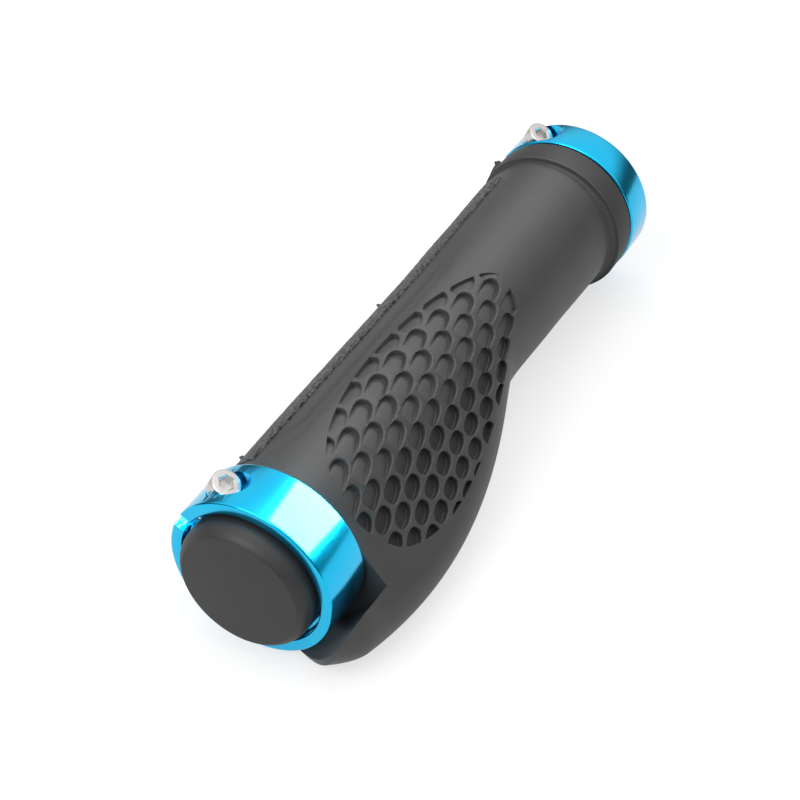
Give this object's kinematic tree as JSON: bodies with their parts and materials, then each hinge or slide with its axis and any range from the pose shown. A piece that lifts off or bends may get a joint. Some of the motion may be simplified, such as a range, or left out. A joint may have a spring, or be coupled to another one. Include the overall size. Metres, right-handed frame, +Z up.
{
  "type": "handlebar grip",
  "caption": "Ergonomic bicycle handlebar grip: rubber sleeve with a palm wing and scale recesses, clamped to the bar by a slotted metal ring at each end, with an end plug.",
  "frame": {"origin": "middle of the grip's footprint, on the surface that it lies on", "axes": "+X along the bar, from the outboard end to the inboard end; +Z up; the palm wing points to -Y and slopes down to the surface"},
  "size_m": [0.1366, 0.0408, 0.033],
  "materials": {
    "rubber": "satin moulded rubber, grained on the underside",
    "sleeve_plastic": "plain moulded nylon",
    "anodised_blue": "bright blue anodised",
    "screw_steel": "bright plated steel",
    "plug_plastic": "matt moulded plastic"
  },
  "bodies": {
    "root": {"rubber_grip": "rubber", "core_sleeve": "sleeve_plastic", "outboard_clamp": "anodised_blue", "inboard_clamp": "anodised_blue", "outboard_clamp_screw": "screw_steel", "inboard_clamp_screw": "screw_steel", "end_plug": "plug_plastic"}
  },
  "joints": []
}
